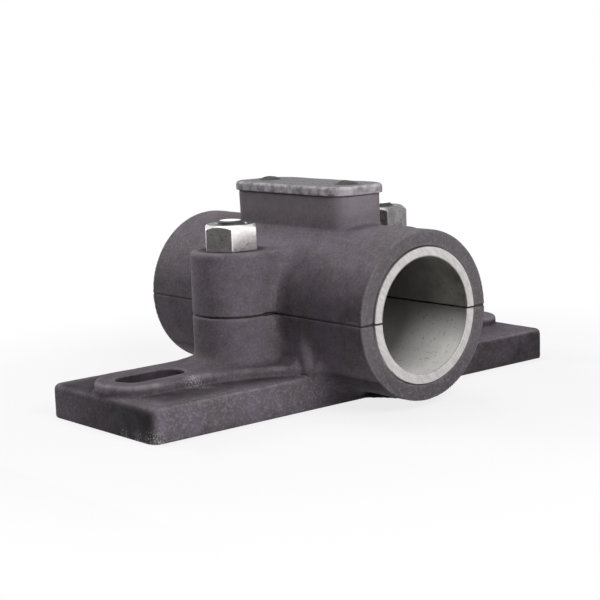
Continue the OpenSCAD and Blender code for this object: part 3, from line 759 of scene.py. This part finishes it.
# Six-sided nut: the flats stand at half / cos(angle from the nearest flat), and a cone turns its corners off
nutLook = {"flats": 0.0216, "bore": 0.00645, "countersink": 0.0072, "countersinkDeep": 0.0006, "crown": 0.90,
           "cone": math.radians(32.0), "columns": 180, "edge": 0.00035,
           "turn": {"left_cap_nut": math.radians(-6.0), "right_cap_nut": math.radians(3.0)},
           "finish": {"left_cap_nut": platedMat, "right_cap_nut": shadedPlatedMat},
           "names": {"left_cap_nut": "leftNut", "right_cap_nut": "rightNut"}}


def makeNut(nodeName, look):
    low, high = (np.array(c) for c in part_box(nodeName))
    centre, foot, tall = (low + high) / 2.0, low[2], high[2] - low[2]
    turn = np.linspace(0.0, 2.0 * math.pi, look["columns"], endpoint=False)
    half, sector = look["flats"] / 2.0, math.pi / 3.0
    offFlat = (turn % sector) - sector / 2.0
    side = half / np.cos(offFlat)
    crown = half * look["crown"]
    shoulder = tall - (side - crown) * math.tan(look["cone"])
    same = np.ones_like(turn)
    radius = np.stack([look["bore"] * same, look["countersink"] * same, side, side, crown * same,
                       look["countersink"] * same, look["bore"] * same])
    deep, edge = look["countersinkDeep"], look["edge"]
    height = np.stack([deep * same, 0.0 * same, 0.0 * same, shoulder, tall * same, tall * same, (tall - deep) * same])
    profile = roundedProfile(radius, height, [0, edge, edge, edge, edge, edge, 0])
    heading = turn + look["turn"][nodeName]
    grid = np.stack([centre[0] + profile[..., 0] * np.cos(heading), centre[1] + profile[..., 0] * np.sin(heading),
                     foot + profile[..., 1]], axis=-1)
    obj = linkPiece(look["names"][nodeName], gridMesh(nodeName, grid, True), look["finish"][nodeName])
    standFor(obj, nodeName)


# Bolt: a square head whose side stands at half / max(|cos|, |sin|), a plain shank, and a thread that rises
# one pitch a turn, cut off by the cone of its bevelled end
boltLook = {"shank": 0.00635, "root": 0.00530, "pitch": 0.00195, "toothFlat": 0.125, "threaded": 0.024,
            "endBevel": 0.0018, "bevelSlope": 1.15, "crown": 0.00035, "crownRows": 6, "crownFrom": 0.15,
            "endDrop": 0.0013, "least": 0.0008, "head": 0.019, "headTall": 0.0083, "headEdge": 0.0005,
            "headCorner": 1.33, "columns": 120, "rows": 190,
            "names": {"left_cap_bolt": "leftBolt", "right_cap_bolt": "rightBolt"}}


def makeBolt(nodeName, look):
    low, high = (np.array(c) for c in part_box(nodeName))
    centre, foot, top = (low + high) / 2.0, low[2], high[2] - look["endDrop"]
    turn = np.linspace(0.0, 2.0 * math.pi, look["columns"], endpoint=False)
    up = np.linspace(top, top - look["threaded"], look["rows"])[:, None]
    tooth = np.abs(2.0 * ((up / look["pitch"] - turn / (2.0 * math.pi)) % 1.0) - 1.0)
    flat = look["toothFlat"]
    tooth = np.clip((1.0 + 2.0 * flat) * tooth - flat, 0.0, 1.0)
    thread = look["root"] + (look["shank"] - look["root"]) * tooth
    fade = np.clip((up - (top - look["threaded"])) / look["pitch"], 0.0, 1.0)
    thread = look["shank"] + (thread - look["shank"]) * fade
    rim, rimUp = look["shank"] - look["endBevel"], top - look["crown"]
    thread = np.minimum(thread, rim + (rimUp - up) * look["bevelSlope"])
    thread = np.maximum(thread, look["least"])
    same = np.ones_like(turn)
    half = look["head"] / 2.0
    square = np.minimum(half / np.maximum(np.abs(np.cos(turn)), np.abs(np.sin(turn))), half * look["headCorner"])
    headTop, headEdge = foot + look["headTall"], look["headEdge"]
    tail = np.stack([look["shank"] * same, square - headEdge, square, square, square - headEdge])
    tailUp = np.stack([headTop * same, headTop * same, (headTop - headEdge) * same,
                       (foot + headEdge) * same, foot * same])
    radius = np.concatenate([thread[1:], tail])
    height = np.concatenate([np.broadcast_to(up[1:], thread[1:].shape), tailUp])
    disc = np.linspace(look["crownFrom"], 1.0, look["crownRows"])[:, None] * rim * same
    dome = top - look["crown"] * (disc / rim) ** 2
    radius, height = np.concatenate([disc, radius]), np.concatenate([dome, height])
    keep = np.concatenate([np.ones(len(disc), bool), up[1:, 0] < rimUp, np.ones(len(tail), bool)])
    grid = np.stack([centre[0] + radius * np.cos(turn), centre[1] + radius * np.sin(turn), height], axis=-1)[keep]
    obj = linkPiece(look["names"][nodeName], gridMesh(nodeName, grid, False), boltMat)
    standFor(obj, nodeName)


for side in ("left", "right"):
    makeNut(side + "_cap_nut", nutLook)
    makeBolt(side + "_cap_bolt", boltLook)
print("nuts and bolts made")


# Camera at the viewing angle of the picture: it looks at a point on the shaft axis
view = {
    "azimuth": math.radians(-40.428),
    "elevation": math.radians(8.998),
    "roll": math.radians(-1.921),
    "distance": 0.686,
    "target": Vector((0.0, 0.0, 0.0396)),
    "lens": 91.6,
    "shift": (-0.01847, -0.00217),
}


def makeCamera(look):
    az, el, roll = look["azimuth"], look["elevation"], look["roll"]
    level = Vector((math.cos(az), math.sin(az), 0.0))
    back = Vector((math.sin(az) * math.cos(el), -math.cos(az) * math.cos(el), math.sin(el)))
    rise = back.cross(level)
    right = math.cos(roll) * level + math.sin(roll) * rise
    up = math.cos(roll) * rise - math.sin(roll) * level
    data = bpy.data.cameras.new("camera")
    data.lens = look["lens"]
    data.sensor_width = 36.0
    data.shift_x, data.shift_y = look["shift"]
    data.clip_start = 0.01
    obj = bpy.data.objects.new("camera", data)
    turn = Matrix((right, up, back)).transposed().to_4x4()
    obj.matrix_world = Matrix.Translation(look["target"] + look["distance"] * back) @ turn
    scene.collection.objects.link(obj)
    scene.camera = obj


makeCamera(view)

# Pale floor that fades into the white backdrop away from the part; nearWhite lightens its shadow
floorLook = {"half": 3.0, "tone": (0.62, 0.62, 0.62), "roughness": 0.9, "gloss": 0.1,
             "fadeFrom": 0.12, "fadeTo": 0.26, "nearWhite": 0.8}


def makeFloor(look):
    half = look["half"]
    mesh = bpy.data.meshes.new("floor")
    mesh.from_pydata([(-half, -half, 0), (half, -half, 0), (half, half, 0), (-half, half, 0)], [], [(0, 1, 2, 3)])
    obj = bpy.data.objects.new("floor", mesh)
    scene.collection.objects.link(obj)
    mat, tree, shader = newMaterial("paleFloor")
    coords = objectCoords(tree)
    reach = addNode(tree, "VectorMath", {0: coords}, operation="LENGTH").outputs["Value"]
    fade = {"Value": reach, "From Min": look["fadeFrom"], "From Max": look["fadeTo"], "To Min": look["nearWhite"]}
    far = addNode(tree, "MapRange", fade, interpolation_type="SMOOTHSTEP").outputs["Result"]
    shader.inputs["Base Color"].default_value = (*look["tone"], 1.0)
    shader.inputs["Roughness"].default_value = look["roughness"]
    shader.inputs["Specular IOR Level"].default_value = look["gloss"]
    seen = seenDirectly(tree)
    white = addNode(tree, "Emission", {"Color": (1, 1, 1, 1), "Strength": 1.0})
    mix = addNode(tree, "MixShader", {0: mathOf(tree, "MULTIPLY", seen, far),
                                      1: shader.outputs["BSDF"], 2: white.outputs["Emission"]})
    out = [n for n in tree.nodes if n.type == "OUTPUT_MATERIAL"][0]
    tree.links.new(mix.outputs["Shader"], out.inputs["Surface"])
    mesh.materials.append(mat)


makeFloor(floorLook)

# Soft studio light: an even surround that shows as white, and large panels
surround = {"light": 0.12}


def makeSurround(look):
    world = bpy.data.worlds.new("surround")
    scene.world = world
    world.use_nodes = True
    tree = world.node_tree
    tree.nodes.clear()
    seen = seenDirectly(tree)
    level = addNode(tree, "MapRange", {"Value": seen, "To Min": look["light"], "To Max": 1.0}).outputs["Result"]
    back = addNode(tree, "Background", {"Color": (1, 1, 1, 1), "Strength": level})
    out = addNode(tree, "OutputWorld")
    tree.links.new(back.outputs["Background"], out.inputs["Surface"])


makeSurround(surround)

# Panels: the direction each stands in from the part, how far off, its size and its power
panels = {
    "keyPanel": {"toward": (-0.16, -0.82, 0.55), "away": 0.60, "size": (0.30, 0.25), "watts": 2.7},
    "sidePanel": {"toward": (0.47, -0.88, 0.12), "away": 0.9, "size": (0.4, 0.5), "watts": 1.3},
    "fillPanel": {"toward": (-0.58, -0.80, 0.14), "away": 1.0, "size": (0.5, 0.4), "watts": 1.4},
    "topPanel": {"toward": (0.06, 0.25, 0.96), "away": 1.0, "size": (0.7, 0.5), "watts": 4.5},
    "leftPanel": {"toward": (-0.37, 0.84, 0.40), "away": 1.0, "size": (0.30, 0.30), "watts": 6.2},
}


def makePanels(look):
    for name, panel in look.items():
        data = bpy.data.lights.new(name, "AREA")
        data.shape = "RECTANGLE"
        data.size, data.size_y = panel["size"]
        data.energy = panel["watts"]
        obj = bpy.data.objects.new(name, data)
        toward = Vector(panel["toward"]).normalized()
        turn = toward.to_track_quat("Z", "Y").to_matrix().to_4x4()
        obj.matrix_world = Matrix.Translation(view["target"] + panel["away"] * toward) @ turn
        scene.collection.objects.link(obj)


makePanels(panels)

# Dark cloths off to the left, one upright and one laid on the floor, out of the camera's sight: they give the
# nuts their dark sides
cloths = {
    "uprightCloth": {"corners": [(-0.55, -0.42, 0.002), (-0.55, 0.30, 0.002),
                                 (-0.55, 0.30, 0.42), (-0.55, -0.42, 0.42)], "shades": True},
    "laidCloth": {"corners": [(-0.55, -0.42, 0.001), (-0.17, -0.30, 0.001),
                              (-0.17, 0.22, 0.001), (-0.55, 0.30, 0.001)], "shades": False},
}
clothLook = {"tone": (0.02, 0.02, 0.02), "paleTone": (0.028, 0.028, 0.028), "weaveScale": 800.0, "roughness": 0.9}


def makeCloths(look):
    mat, tree, shader = newMaterial("darkCloth")
    weave = noiseOf(tree, objectCoords(tree), clothLook["weaveScale"])
    tree.links.new(mixColour(tree, weave, clothLook["tone"], clothLook["paleTone"]), shader.inputs["Base Color"])
    shader.inputs["Roughness"].default_value = clothLook["roughness"]
    shader.inputs["Specular IOR Level"].default_value = 0.0
    for name, cloth in look.items():
        mesh = bpy.data.meshes.new(name)
        mesh.from_pydata(cloth["corners"], [], [(0, 1, 2, 3)])
        mesh.materials.append(mat)
        obj = bpy.data.objects.new(name, mesh)
        scene.collection.objects.link(obj)
        obj.visible_camera = False
        obj.visible_shadow = cloth["shades"]


makeCloths(cloths)
print("camera, floor and light set")

scene.view_settings.view_transform = "Standard"
